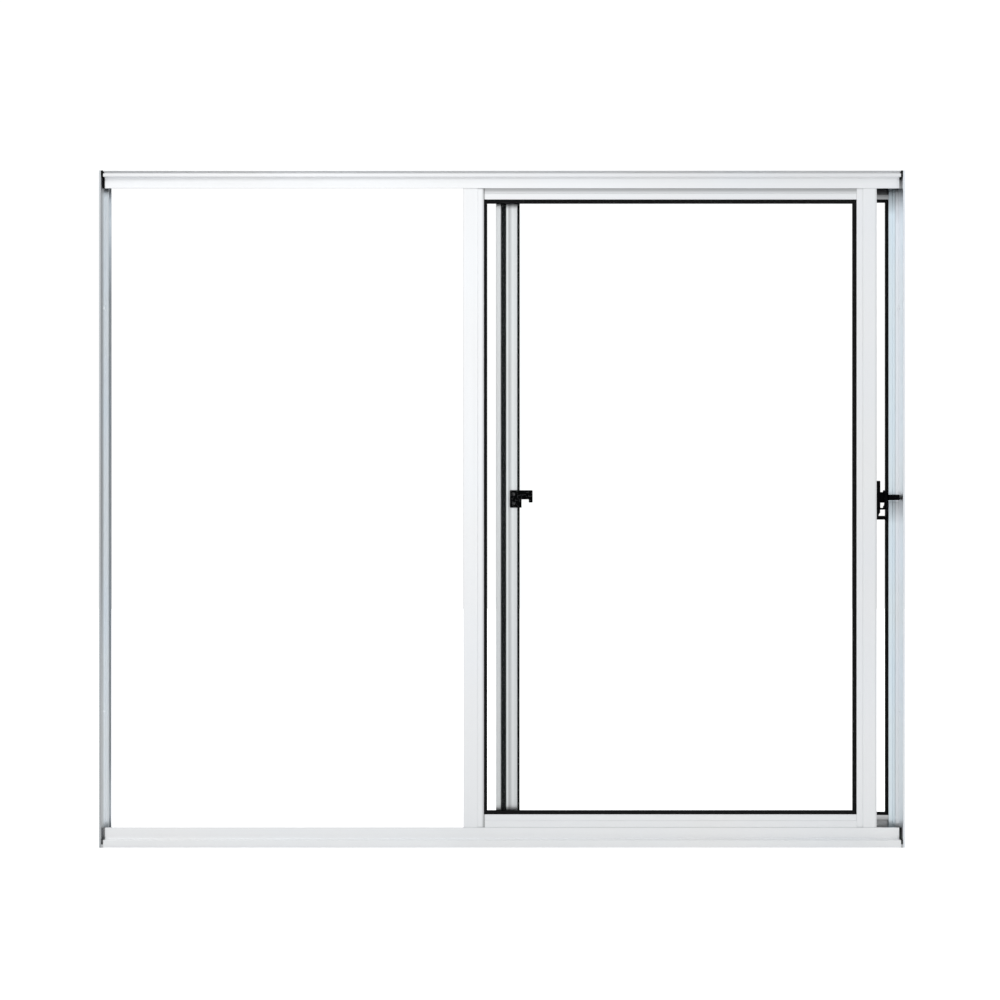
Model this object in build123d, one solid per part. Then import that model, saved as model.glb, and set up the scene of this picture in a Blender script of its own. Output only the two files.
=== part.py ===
from build123d import *
import os
from math import cos, radians, sin

# Horizontal two-leaf aluminium window, in millimetres.
# The room side faces -Y. The origin is the middle of the sill's flat underside.
# A sliding leaf stands open on the right, in front of a fixed leaf.

# Outer frame
frame_width = 1190.0
frame_height = 1000.0
frame_depth = 53.0
frame_wall = 1.4
edge_radius = 0.5
flange_depth = 12.0  # front plane back to the flange beside the sliding leaf

# Head
head_lip = 9.3
head_flange = 24.5
head_mid_fin = 21.0
head_rear_fin = 17.7
trim_slot = 2.9

# Sill
sill_lip = 11.5
sill_flange = 27.9
sill_mid_fin = 24.8
sill_rear_fin = 21.0
track_top = 16.2
track_wall = 1.6

# Jambs
jamb_web = 1.5
jamb_lip = 1.5
jamb_fin = 4.6
cope_gap = 0.2

# Corner joints
seal_thickness = 3.2
port_bore = 1.9
port_wall = 1.1
screw_hole_radius = 2.1
fixing_hole_radius = 3.25
fixing_spacing = 600.0

# Leaves
leaf_wall = 1.3
leaf_bottom = 19.5
leaf_top_gap = 10.0  # leaf top below the head's top
front_running_gap = 0.6  # before and behind the sliding leaf
rear_running_gap = 1.2
rear_back_gap = 1.6
closing_gap = 3.8
stop_gap = 2.7  # between the latch lever and the right jamb when the leaf stands open
sliding_past_middle = 25.3  # reach of the closed sliding leaf beyond the window's middle
fixed_past_middle = 9.0
pull_stile = 30.7
sliding_meeting_stile = 29.7
sliding_top_rail = 30.5
sliding_bottom_rail = 27.4
sliding_setback = 1.2
sliding_leg = 9.2  # that holds the glass, beyond its pocket's web
fixed_side_gap = 0.6
fixed_meeting_stile = 31.9
fixed_jamb_stile = 13.4
fixed_top_rail = 27.0
fixed_bottom_rail = 22.9
fixed_setback = 2.2
fixed_back_setback = 1.0
fixed_leg = 6.0
fixed_channel_depth = 9.4  # of the fixed rails, whose front wall stands back in the leaf
joint_gap = 0.1
access_hole_radius = 3.6

# Interlock between the meeting stiles
hook_wall = 1.2
fixed_hook_gap = 0.8  # behind the sliding leaf's back face
fixed_hook_width = 6.6
sliding_hook_inset = 2.0
sliding_hook_reach = 2.2
hook_clearance = 0.8
hook_end_gap = 2.5
pile_slot_start = 6.7
pile_slot_width = 9.4
pile_slot_depth = 2.4
pile_mouth = 7.4
pile_lip = 1.0
pile_backing = 0.9
pile_height = 3.3
stile_groove_start = 18.5
stile_groove_width = 3.1
stile_groove_depth = 0.9

# Glass and gaskets
glass_thickness = 4.0
gasket_base = 1.4
sliding_gasket_show = 4.8
fixed_gasket_show = 3.6
gasket_tip = 1.2
gasket_clearance = 0.05

# Rollers, guides and setting blocks
wheel_radius = 7.0
wheel_groove = 1.6
wheel_width = 7.0
wheel_seat_gap = 0.2
axle_radius = 1.6
housing_length = 52.0
housing_gap = 0.6  # below the rail's screw port
housing_wall = 1.8
roller_inset = 75.0
block_length = 45.0
block_inset = 110.0
block_margin = 2.0
block_key = 4.0
block_gap = 0.2
guide_length = 40.0
guide_height = 12.0

# Latch on the sliding leaf's meeting stile
latch_above_middle = 13.2  # middle of the plate above the frame's middle
latch_plate_length = 57.7
latch_plate_width = 12.6
latch_plate_thickness = 5.7
latch_pivot_rise = 4.2  # above the middle of the plate
latch_foot = 5.7
latch_bridge_reach = 17.2
latch_bridge_wall = 2.6
latch_bridge_width = 9.0
latch_bridge_top = 10.6  # above the pivot
latch_shelf = 2.8
latch_hollow = 2.6
cam_clearance = 0.3
cam_thickness = 3.6
cam_small_radius = 10.6
cam_large_radius = 18.3
cam_band = 5.0
cam_hub = 8.0
pivot_radius = 2.4
lever_length = 15.9
lever_height = 8.2
lever_depth = 17.0
lever_root_gap = 0.2
latch_screw_inset = 6.0  # below the plate's top and above its foot
latch_screw_radius = 1.4

# Keeper on the fixed leaf's meeting stile
keeper_thickness = 3.8
keeper_left = 20.8  # from the fixed leaf's edge
keeper_width = 17.4
keeper_drop = 15.3  # bottom of the keeper below the latch's pivot
keeper_body = 26.0
keeper_arm = 16.5
keeper_arm_height = 13.7
keeper_lip_width = 5.7
keeper_lip_drop = 4.6
keeper_round = 1.2
keeper_screw_spacing = 14.0
keeper_screw_radius = 1.9
keeper_notch_gap = 1.5

# Places worked out from the sizes above
front = -frame_depth / 2
jamb_thickness = jamb_web + jamb_lip
jamb_inside = frame_width / 2 - jamb_thickness
profile_end = jamb_inside - seal_thickness
flange_back = flange_depth + frame_wall
rear_fin = frame_depth - frame_wall
running_gaps = 2 * front_running_gap + rear_running_gap + rear_back_gap
leaf_depth = (rear_fin - flange_back - frame_wall - running_gaps) / 2
pocket_width = leaf_depth - fixed_setback - 2 * leaf_wall - fixed_back_setback
fixed_rail_recess = leaf_depth - fixed_channel_depth
sliding_front = flange_back + front_running_gap
fin_depth = sliding_front + leaf_depth + front_running_gap
fin_back = fin_depth + frame_wall
fixed_front = fin_back + rear_running_gap
leaf_top = frame_height - leaf_top_gap
sliding_width = jamb_inside - closing_gap + sliding_past_middle
sliding_right = jamb_inside - stop_gap - lever_length - lever_root_gap - latch_bridge_reach
sliding_left = sliding_right - sliding_width
fixed_left = -fixed_past_middle
fixed_right = jamb_inside - fixed_side_gap
front_track = sliding_front + leaf_depth / 2
rear_track = fixed_front + leaf_depth / 2
port_radius = port_bore + port_wall
front_port = flange_depth / 2
fixing_depth = front_track


def save(name, part):
    export_step(part, os.path.join("parts", name + ".step"))


def strip(x0, y0, x1, y1):
    """Flat wall of a section, between two corners."""
    return Pos((x0 + x1) / 2, (y0 + y1) / 2) * Rectangle(x1 - x0, y1 - y0)


def block(x0, x1, y0, y1, z0, z1):
    """Upright box between two corners, used to cut and cope."""
    middle = Pos((x0 + x1) / 2, (y0 + y1) / 2, (z0 + z1) / 2)
    return middle * Box(x1 - x0, y1 - y0, z1 - z0)


def rod(x0, x1, y, z, radius):
    """Round bar or hole along X."""
    return Pos((x0 + x1) / 2, y, z) * Rot(0, 90, 0) * Cylinder(radius, abs(x1 - x0))


def rounded(section, radius, points):
    """Round the section's corners nearest to the points."""
    corners = [section.vertices().sort_by_distance(Vector(*p))[0] for p in points]
    return fillet(corners, radius)


def along_x(section, start, end, y, z, upward):
    """Extrude a section of (depth, height) from start to end, upward from z or hanging below it."""
    if upward:
        return extrude(Plane((start, y, z), (0, 1, 0), (1, 0, 0)) * section, end - start)
    return extrude(Plane((end, y, z), (0, 1, 0), (-1, 0, 0)) * section, end - start)


def along_z(section, x, y, bottom, top, rightward):
    """Extrude a section of (width, depth) from bottom to top, its width running right or left of x."""
    if rightward:
        return extrude(Plane((x, y, bottom), (1, 0, 0), (0, 0, 1)) * section, top - bottom)
    return extrude(Plane((x, y, top), (-1, 0, 0), (0, 0, -1)) * section, top - bottom)


def with_ports(section, ports):
    """Add round screw ports to a section, each open down its middle."""
    for x, y in ports:
        section += Pos(x, y) * Circle(port_radius)
    for x, y in ports:
        section -= Pos(x, y) * Circle(port_bore)
    return section


# The frame's head and sill


def head_walls():
    """Head section in (depth, distance below the top)."""
    walls = strip(0, 0, frame_depth, frame_wall)
    walls += strip(0, frame_wall + trim_slot, frame_wall, head_lip)
    walls += strip(0, head_lip - frame_wall, flange_back, head_lip)
    walls += strip(flange_depth, 0, flange_back, head_flange)
    walls += strip(fin_depth, 0, fin_back, head_mid_fin)
    walls += strip(rear_fin, 0, frame_depth, head_rear_fin)
    return walls


def sill_walls():
    """Sill section in (depth, height)."""
    walls = strip(0, 0, frame_depth, frame_wall)
    walls += strip(0, 0, frame_wall, sill_lip)
    walls += strip(0, sill_lip - frame_wall, frame_depth, sill_lip)
    walls += strip(flange_depth, 0, flange_back, sill_flange)
    walls += strip(fin_depth, 0, fin_back, sill_mid_fin)
    walls += strip(rear_fin, 0, frame_depth, sill_rear_fin)
    for track in (front_track, rear_track):
        walls += strip(track - track_wall / 2, sill_lip, track + track_wall / 2, track_top)
    return walls


port_level = frame_wall + port_bore
head_ports = [(front_port, port_level), (rear_track, port_level)]
sill_ports = [(front_port, port_level), (rear_track, port_level)]


def head_profile():
    section = with_ports(head_walls(), head_ports)
    section = rounded(section, edge_radius, [(0, head_lip), (0, frame_wall + trim_slot)])
    return rounded(section, edge_radius, [(flange_depth, head_flange), (flange_back, head_flange)])


def sill_profile():
    section = with_ports(sill_walls(), sill_ports)
    section = rounded(section, edge_radius, [(0, sill_lip), (0, 0)])
    return rounded(section, edge_radius, [(flange_depth, sill_flange), (flange_back, sill_flange)])


def head():
    return along_x(head_profile(), -profile_end, profile_end, front, frame_height, False)


def sill():
    return along_x(sill_profile(), -profile_end, profile_end, front, 0, True)


# The jambs and their seals


def corner_screw_places():
    """(Y, Z) of the screws that hold a jamb to the head and the sill."""
    places = [(front + d, frame_height - h) for d, h in head_ports]
    return places + [(front + d, h) for d, h in sill_ports]


def jamb(side):
    """Jamb on the left (-1) or right (1), with its wall-side lips and two fins."""
    outer = side * frame_width / 2
    rightward = side < 0
    web = strip(jamb_lip, 0, jamb_thickness, frame_depth)
    for depth in (0, fin_depth, rear_fin):
        web += strip(0, depth, jamb_lip, depth + frame_wall)
    web = rounded(web, edge_radius, [(jamb_thickness, 0)])
    body = along_z(web, outer, front, 0, frame_height, rightward)
    for depth, low, high in (
        (fin_depth, sill_mid_fin, head_mid_fin),
        (rear_fin, sill_rear_fin, head_rear_fin),
    ):
        fin = strip(jamb_thickness, depth, jamb_thickness + jamb_fin, depth + frame_wall)
        top = frame_height - high - cope_gap
        body += along_z(fin, outer, front, low + cope_gap, top, rightward)
    for y, z in corner_screw_places():
        body -= rod(side * jamb_inside, outer, y, z, screw_hole_radius)
    for step in (-1, 1):
        z = frame_height / 2 + step * fixing_spacing / 2
        body -= rod(side * jamb_inside, outer, front + fixing_depth, z, fixing_hole_radius)
    return body


def seal(side, upper):
    """Soft pad between a jamb and the end of the head or the sill, which the screws pierce."""
    start, end = sorted((side * profile_end, side * jamb_inside))
    if upper:
        section = head_walls() + strip(0, 0, flange_back, head_lip)
    else:
        section = sill_walls() + strip(0, 0, frame_depth, sill_lip)
    level = frame_height if upper else 0
    return along_x(section, start, end, front, level, not upper)


# The leaves


class Leaf:
    """A leaf's stiles, rails and glazing.

    Its sections are in (distance in from the leaf's edge, depth from the leaf's front).
    """

    def __init__(self, edges, leaf_front, stiles, rails, setback, leg, recess, show):
        self.left, self.right = edges
        self.y = front + leaf_front
        self.left_stile, self.right_stile = stiles
        self.top_rail, self.bottom_rail = rails
        self.setback = setback
        self.leg = leg
        self.recess = recess
        self.show = show
        self.near = setback + leaf_wall
        self.far = self.near + pocket_width

    def glazing_legs(self, width):
        """The two legs that hold the glass, and the web at the bottom of their pocket."""
        box = width - self.leg
        legs = strip(box - leaf_wall, self.setback, width, self.near)
        legs += strip(box - leaf_wall, self.far, width, self.far + leaf_wall)
        return legs + strip(box - leaf_wall, 0, box, leaf_depth)

    def stile_section(self, width):
        """Closed box with glazing legs."""
        box = width - self.leg
        section = self.glazing_legs(width)
        section += strip(0, 0, box, leaf_wall)
        section += strip(0, leaf_depth - leaf_wall, box, leaf_depth)
        section += strip(0, 0, leaf_wall, leaf_depth)
        points = [(0, 0), (box, 0), (0, leaf_depth), (width, self.setback)]
        return rounded(section, edge_radius, points)

    def port(self, width):
        """Screw port against a rail's web, clear of the rail's recessed front wall."""
        inset = width - self.leg - leaf_wall - port_bore
        return (inset, max(self.near + pocket_width / 2, self.recess + leaf_wall + port_bore))

    def rail_section(self, width):
        """Channel open at the leaf's edge, with glazing legs and a screw port."""
        box = width - self.leg
        section = self.glazing_legs(width)
        if self.recess > 0:
            section -= strip(box - leaf_wall, 0, box, self.setback)
        section += strip(0, self.recess, box, self.recess + leaf_wall)
        section += strip(0, leaf_depth - leaf_wall, box, leaf_depth)
        section = with_ports(section, [self.port(width)])
        corner = (box - leaf_wall, self.setback) if self.recess > 0 else (box, 0)
        return rounded(section, edge_radius, [corner, (0, self.recess), (width, self.setback)])

    def tongue_section(self, width):
        """What is left of a rail where it enters the stile's pocket."""
        box = width - self.leg
        section = strip(box - leaf_wall, self.near + joint_gap, box, self.far - joint_gap)
        return with_ports(section, [self.port(width)])

    def rail(self, upper):
        """Top or bottom rail between the stiles' legs, with a tongue into each pocket."""
        width = self.top_rail if upper else self.bottom_rail
        start = self.left + self.left_stile
        end = self.right - self.right_stile
        body = self.rail_length(self.rail_section(width), start + joint_gap, end - joint_gap, upper)
        reach = self.leg - joint_gap
        return body + self.rail_length(self.tongue_section(width), start - reach, end + reach, upper)

    def rail_length(self, section, start, end, upper):
        """Extrude a rail's section, given from the leaf's top or bottom edge inwards."""
        if upper:
            plane = Plane((start, self.y, leaf_top), (0, 0, -1), (1, 0, 0))
        else:
            plane = Plane((end, self.y, leaf_bottom), (0, 0, 1), (-1, 0, 0))
        return extrude(plane * section, end - start)

    def stile(self, section, on_left):
        """Extrude a stile's section over the leaf's height and drill it."""
        edge = self.left if on_left else self.right
        body = along_z(section, edge, self.y, leaf_bottom, leaf_top, on_left)
        return self.drilled(body, on_left)

    def drilled(self, body, on_left):
        """Access holes in a stile's outer wall for the screws into the rails' ports."""
        edge = self.left if on_left else self.right
        inner = edge + leaf_wall if on_left else edge - leaf_wall
        inset, depth = self.port(self.bottom_rail)
        for z in (leaf_bottom + inset, leaf_top - self.port(self.top_rail)[0]):
            body -= rod(edge, inner, self.y + depth, z, access_hole_radius)
        return body

    def pockets(self):
        """The rectangle of pocket bottoms that the glazing sits in: left, right, bottom and top."""
        reach = self.leg - joint_gap
        return (
            self.left + self.left_stile - reach,
            self.right - self.right_stile + reach,
            leaf_bottom + self.bottom_rail - reach,
            leaf_top - self.top_rail + reach,
        )

    def pane(self):
        """Glass, clear of the gasket's floor."""
        left, right, bottom, top = self.pockets()
        inset = gasket_base + gasket_clearance
        middle = self.y + self.near + pocket_width / 2
        half = glass_thickness / 2
        return block(left + inset, right - inset, middle - half, middle + half, bottom + inset, top - inset)

    def gasket_section(self):
        """U channel round the glass edge, its lips thinning towards the pane."""
        slot = glass_thickness / 2 + gasket_clearance
        outside = pocket_width / 2 - gasket_clearance
        shoulder = self.leg - joint_gap
        tip = shoulder + self.show
        base = gasket_base
        upper = [(0, outside), (shoulder, outside), (tip, slot + gasket_tip), (tip, slot), (base, slot)]
        lower = [(x, -y) for x, y in reversed(upper)]
        return make_face(Polyline(*upper, *lower, upper[0]))

    def gasket(self, side):
        """One mitred length of the glazing channel: left, right, bottom or top."""
        left, right, bottom, top = self.pockets()
        width = right - left
        height = top - bottom
        reach = self.leg + self.show
        x, z, x_dir, z_dir, run = {
            "left": (left, bottom, (1, 0, 0), (0, 0, 1), height),
            "right": (right, top, (-1, 0, 0), (0, 0, -1), height),
            "bottom": (right, bottom, (0, 0, 1), (-1, 0, 0), width),
            "top": (left, top, (0, 0, -1), (1, 0, 0), width),
        }[side]
        corner = (x, self.y + self.near + pocket_width / 2, z)
        channel = extrude(Plane(corner, x_dir, z_dir) * self.gasket_section(), run)
        outline = Polyline((0, 0), (0, run), (reach, run - reach), (reach, reach), (0, 0))
        sheet = Plane(corner, x_dir, Vector(*x_dir).cross(Vector(*z_dir)))
        return channel & extrude(sheet * make_face(outline), pocket_width, both=True)


sliding = Leaf(
    edges=(sliding_left, sliding_right),
    leaf_front=sliding_front,
    stiles=(pull_stile, sliding_meeting_stile),
    rails=(sliding_top_rail, sliding_bottom_rail),
    setback=sliding_setback,
    leg=sliding_leg,
    recess=0,
    show=sliding_gasket_show,
)
fixed = Leaf(
    edges=(fixed_left, fixed_right),
    leaf_front=fixed_front,
    stiles=(fixed_meeting_stile, fixed_jamb_stile),
    rails=(fixed_top_rail, fixed_bottom_rail),
    setback=fixed_setback,
    leg=fixed_leg,
    recess=fixed_rail_recess,
    show=fixed_gasket_show,
)


# The sliding leaf

sliding_back = sliding_front + leaf_depth
latch_y = front + sliding_front + leaf_depth / 2
latch_height = frame_height / 2 + latch_above_middle
latch_pivot_height = latch_height + latch_pivot_rise
latch_low = latch_height - latch_plate_length / 2
latch_high = latch_height + latch_plate_length / 2
plate_face = sliding_right + latch_plate_thickness
cam_start = sliding_right + latch_bridge_reach - latch_bridge_wall - cam_clearance - cam_thickness
keeper_bottom = latch_pivot_height - keeper_drop
keeper_x = fixed_left + keeper_left
keeper_screw_x = keeper_x + (fixed_left + fixed_meeting_stile - keeper_x) / 2
fixed_hook_front = sliding_back + fixed_hook_gap
fixed_face = fixed_front + fixed_setback
keeper_y = front + fixed_face
sliding_hook_back = fixed_face - hook_clearance
hook_bottom = leaf_bottom + fixed_bottom_rail + hook_end_gap
hook_top = leaf_top - fixed_top_rail - hook_end_gap


def latch_screw_heights():
    return (latch_low + latch_foot + latch_screw_inset, latch_high - latch_screw_inset)


def keeper_screw_heights():
    middle = keeper_bottom + keeper_body / 2
    return (middle - keeper_screw_spacing / 2, middle + keeper_screw_spacing / 2)


def sliding_hook():
    """Hook behind the sliding leaf's meeting stile, notched to pass the keeper."""
    leg_back = sliding.far + leaf_wall
    back = sliding_hook_back - sliding_front
    leg = sliding_meeting_stile - sliding_hook_inset
    section = strip(leg - hook_wall, leg_back - leaf_wall, leg, back)
    tip = sliding_meeting_stile + sliding_hook_reach
    section += strip(leg - hook_wall, back - hook_wall, tip, back)
    hook = along_z(section, sliding_right, sliding.y, hook_bottom, hook_top, False)
    notch_bottom = keeper_bottom - keeper_notch_gap
    notch_top = keeper_bottom + keeper_body + keeper_notch_gap
    y0 = sliding.y + leg_back
    return hook - block(sliding_left, sliding_right, y0, keeper_y, notch_bottom, notch_top)


def sliding_meeting_stile_part():
    body = sliding.stile(sliding.stile_section(sliding_meeting_stile), False) + sliding_hook()
    for z in latch_screw_heights():
        body -= rod(sliding_right - leaf_wall, sliding_right, latch_y, z, latch_screw_radius)
    return body


# The fixed leaf


def fixed_meeting_section():
    """Meeting stile with its forward hook, the slot for the pile and a face groove."""
    width = fixed_meeting_stile
    face = fixed_setback
    box = width - fixed_leg
    back = leaf_depth - leaf_wall
    hook_front = fixed_hook_front - fixed_front
    section = strip(0, hook_front, leaf_wall, leaf_depth)
    section += strip(0, hook_front, fixed_hook_width, hook_front + hook_wall)
    section += strip(0, back, box, leaf_depth)
    section += strip(0, face, width, face + leaf_wall)
    section += strip(box - leaf_wall, face, box, leaf_depth)
    section += strip(box - leaf_wall, fixed.far, width, fixed.far + leaf_wall)
    slot_end = pile_slot_start + pile_slot_width
    slot_floor = face + pile_slot_depth
    section += strip(pile_slot_start - leaf_wall, face, slot_end + leaf_wall, slot_floor + leaf_wall)
    section -= strip(pile_slot_start, face + pile_lip, slot_end, slot_floor)
    mouth_start = pile_slot_start + (pile_slot_width - pile_mouth) / 2
    section -= strip(mouth_start, face, mouth_start + pile_mouth, slot_floor)
    groove_end = stile_groove_start + stile_groove_width
    section += strip(stile_groove_start, face, groove_end, face + stile_groove_depth + leaf_wall)
    section -= strip(stile_groove_start, face, groove_end, face + stile_groove_depth)
    return rounded(section, edge_radius, [(0, hook_front), (width, face)])


def fixed_meeting_stile_part():
    body = fixed.stile(fixed_meeting_section(), True)
    hook_right = fixed_left + fixed_hook_width
    body -= block(fixed_left, hook_right, sliding.y, keeper_y, leaf_bottom, hook_bottom)
    body -= block(fixed_left, hook_right, sliding.y, keeper_y, hook_top, leaf_top)
    for z in keeper_screw_heights():
        body -= lying_disc(keeper_screw_x, keeper_y, z, keeper_screw_radius, 2 * leaf_wall)
    return body


def meeting_pile():
    """Brush seal in the fixed meeting stile's slot."""
    floor = fixed_setback + pile_slot_depth - joint_gap
    centre = pile_slot_start + pile_slot_width / 2
    half_backing = pile_slot_width / 2 - joint_gap
    half_brush = pile_mouth / 2 - joint_gap
    section = strip(centre - half_backing, floor - pile_backing, centre + half_backing, floor)
    section += strip(centre - half_brush, floor - pile_height, centre + half_brush, floor)
    return along_z(section, fixed_left, fixed.y, hook_bottom, hook_top, True)


# Rollers, guides and blocks

groove_at_track = wheel_groove * (1 - track_wall / wheel_width)
wheel_height = track_top + wheel_radius - groove_at_track + wheel_seat_gap


def roller_places():
    inset = pull_stile + roller_inset
    return (sliding_left + inset, sliding_right - inset)


def lying_disc(x, y, z, radius, width):
    """Disc or hole with its axis along Y."""
    return Pos(x, y, z) * Rot(90, 0, 0) * Cylinder(radius, width)


def roller_wheel(x):
    """Grooved wheel on the sill's front track."""
    y = front + front_track
    half = wheel_width / 2
    floor = wheel_radius - wheel_groove
    outline = Polyline(
        (axle_radius + joint_gap, -half),
        (wheel_radius, -half),
        (floor, 0),
        (wheel_radius, half),
        (axle_radius + joint_gap, half),
        (axle_radius + joint_gap, -half),
    )
    wheel = revolve(Plane.XY * make_face(outline), Axis.Y)
    return Pos(x, y, wheel_height) * wheel


def roller_housing(x):
    """Open-bottomed housing held in the bottom rail's channel."""
    y = front + front_track
    half = leaf_depth / 2 - leaf_wall - joint_gap
    low = leaf_bottom + joint_gap
    high = leaf_bottom + sliding.port(sliding_bottom_rail)[0] - port_radius - housing_gap
    half_length = housing_length / 2
    shell = block(x - half_length, x + half_length, y - half, y + half, low, high)
    inside = half - housing_wall
    bay = wheel_radius + housing_wall
    roof = wheel_height + wheel_radius + wheel_seat_gap
    shell -= block(x - bay, x + bay, y - inside, y + inside, low, roof)
    return shell - lying_disc(x, y, wheel_height, axle_radius, 2 * half)


def roller_axle(x):
    y = front + front_track
    length = leaf_depth - 2 * leaf_wall - 2 * joint_gap
    return lying_disc(x, y, wheel_height, axle_radius - joint_gap / 2, length)


def fixed_block(x):
    """Setting block that stands on the rear track under the fixed leaf's bottom rail."""
    half_length = block_length / 2
    low = (track_top + sill_lip) / 2
    high = leaf_bottom - block_gap
    section = strip(block_margin, low, leaf_depth - block_gap, high)
    key_start = fixed_rail_recess + leaf_wall + block_gap
    section += strip(key_start, low, leaf_depth - leaf_wall - block_gap, high + block_key)
    centre = leaf_depth / 2
    half_track = track_wall / 2 + block_gap
    section -= strip(centre - half_track, low, centre + half_track, track_top)
    return along_x(section, x - half_length, x + half_length, front + fixed_front, 0, True)


def top_guide(x):
    """Nylon block in the top rail's channel that steadies the leaf in the head."""
    half = leaf_depth / 2 - leaf_wall - joint_gap
    y = front + front_track
    half_length = guide_length / 2
    return block(x - half_length, x + half_length, y - half, y + half, leaf_top - guide_height, leaf_top)


# The latch and its keeper


def latch_body():
    """Cast body: plate on the stile's edge, foot, shelf and bridge round the cam."""
    face = Plane((sliding_right, latch_y, latch_height), (0, 1, 0), (1, 0, 0))
    outline = RectangleRounded(latch_plate_width, latch_plate_length, latch_plate_width / 4)
    plate = extrude(face * outline, latch_plate_thickness)
    half = latch_bridge_width / 2
    y0, y1 = latch_y - half, latch_y + half
    x1 = sliding_right + latch_bridge_reach
    foot_top = latch_low + latch_foot
    foot = block(sliding_right, x1, y0, y1, latch_low, foot_top)
    bridge_top = latch_pivot_height + latch_bridge_top
    bridge = block(x1 - latch_bridge_wall, x1, y0, y1, latch_low, bridge_top)
    bridge = fillet(bridge.edges().filter_by(Axis.X).group_by(Axis.Z)[-1], half / 2)
    shelf_low = latch_pivot_height - cam_large_radius
    shelf = block(sliding_right, cam_start - cam_clearance, y0, y1, shelf_low, shelf_low + latch_shelf)
    body = plate + foot + bridge + shelf - plate_hollow(foot_top, shelf_low)
    body -= rod(sliding_right, x1, latch_y, latch_pivot_height, pivot_radius)
    for z in latch_screw_heights():
        body -= rod(sliding_right, plate_face, latch_y, z, latch_screw_radius)
    return body


def plate_hollow(bottom, top):
    """Slope cut into the plate's face between the foot and the shelf."""
    deep = (plate_face - latch_hollow, bottom)
    outline = Polyline((plate_face, top), (plate_face, bottom), deep, (plate_face, top))
    plane = Plane((0, latch_y, 0), (1, 0, 0), (0, -1, 0))
    return extrude(plane * make_face(outline), latch_plate_width / 2, both=True)


def cam_point(angle, radius):
    return (radius * cos(radians(angle)), radius * sin(radians(angle)))


def cam_arc(start_radius, end_radius):
    """Half turn on the room side, from above the pivot to below it."""
    middle = (start_radius + end_radius) / 2
    points = [(90, start_radius), (180, middle), (270, end_radius)]
    return ThreePointArc(*[cam_point(angle, radius) for angle, radius in points])


def latch_cam():
    """Spiral crescent on a hub, turned to the room side so that the leaf is free to slide."""
    outer = cam_arc(cam_small_radius, cam_large_radius)
    inner = cam_arc(cam_small_radius - cam_band, cam_large_radius - cam_band)
    edges = outer + inner + Line(outer @ 0, inner @ 0) + Line(outer @ 1, inner @ 1)
    spoke = strip(-cam_small_radius, -cam_hub / 2, 0, cam_hub / 2)
    crescent = make_face(edges) + Circle(cam_hub) + spoke
    hub_start = plate_face + cam_clearance
    hub = Plane((hub_start, latch_y, latch_pivot_height), (0, 1, 0), (1, 0, 0)) * Circle(cam_hub)
    plane = Plane((cam_start, latch_y, latch_pivot_height), (0, 1, 0), (1, 0, 0))
    body = extrude(plane * crescent, cam_thickness) + extrude(hub, cam_start - hub_start)
    bore = pivot_radius + joint_gap
    return body - rod(hub_start, cam_start + cam_thickness, latch_y, latch_pivot_height, bore)


def latch_lever():
    """Thumb piece on the outer end of the pivot."""
    x0 = sliding_right + latch_bridge_reach + lever_root_gap
    plane = Plane((x0, latch_y, latch_pivot_height), (0, 1, 0), (1, 0, 0))
    outline = Pos(-lever_depth / 4, 0) * RectangleRounded(lever_depth, lever_height, lever_height / 3)
    lever = extrude(plane * outline, lever_length)
    pin = rod(sliding_right, x0, latch_y, latch_pivot_height, pivot_radius - joint_gap)
    return lever + pin


def keeper():
    """Flat keeper whose arm ends in a downward lip."""
    top = keeper_bottom + keeper_body
    right = keeper_x + keeper_width
    tip = right + keeper_arm
    arm_low = top - keeper_arm_height
    lip = tip - keeper_lip_width
    outline = Polyline(
        (keeper_x, keeper_bottom),
        (right, keeper_bottom),
        (right, arm_low),
        (lip, arm_low),
        (lip, arm_low - keeper_lip_drop),
        (tip, arm_low - keeper_lip_drop),
        (tip, top),
        (keeper_x, top),
        (keeper_x, keeper_bottom),
    )
    face = rounded(
        make_face(outline),
        keeper_round,
        [(keeper_x, keeper_bottom), (keeper_x, top), (tip, top), (tip, arm_low)],
    )
    plane = Plane((0, keeper_y, 0), (1, 0, 0), (0, -1, 0))
    body = extrude(plane * face, keeper_thickness)
    for z in keeper_screw_heights():
        body -= lying_disc(keeper_screw_x, keeper_y, z, keeper_screw_radius, 3 * keeper_thickness)
    return body


def together(pieces):
    """Like pieces kept as separate solids in one file."""
    return Compound([solid for piece in pieces for solid in piece.solids()])


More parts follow.
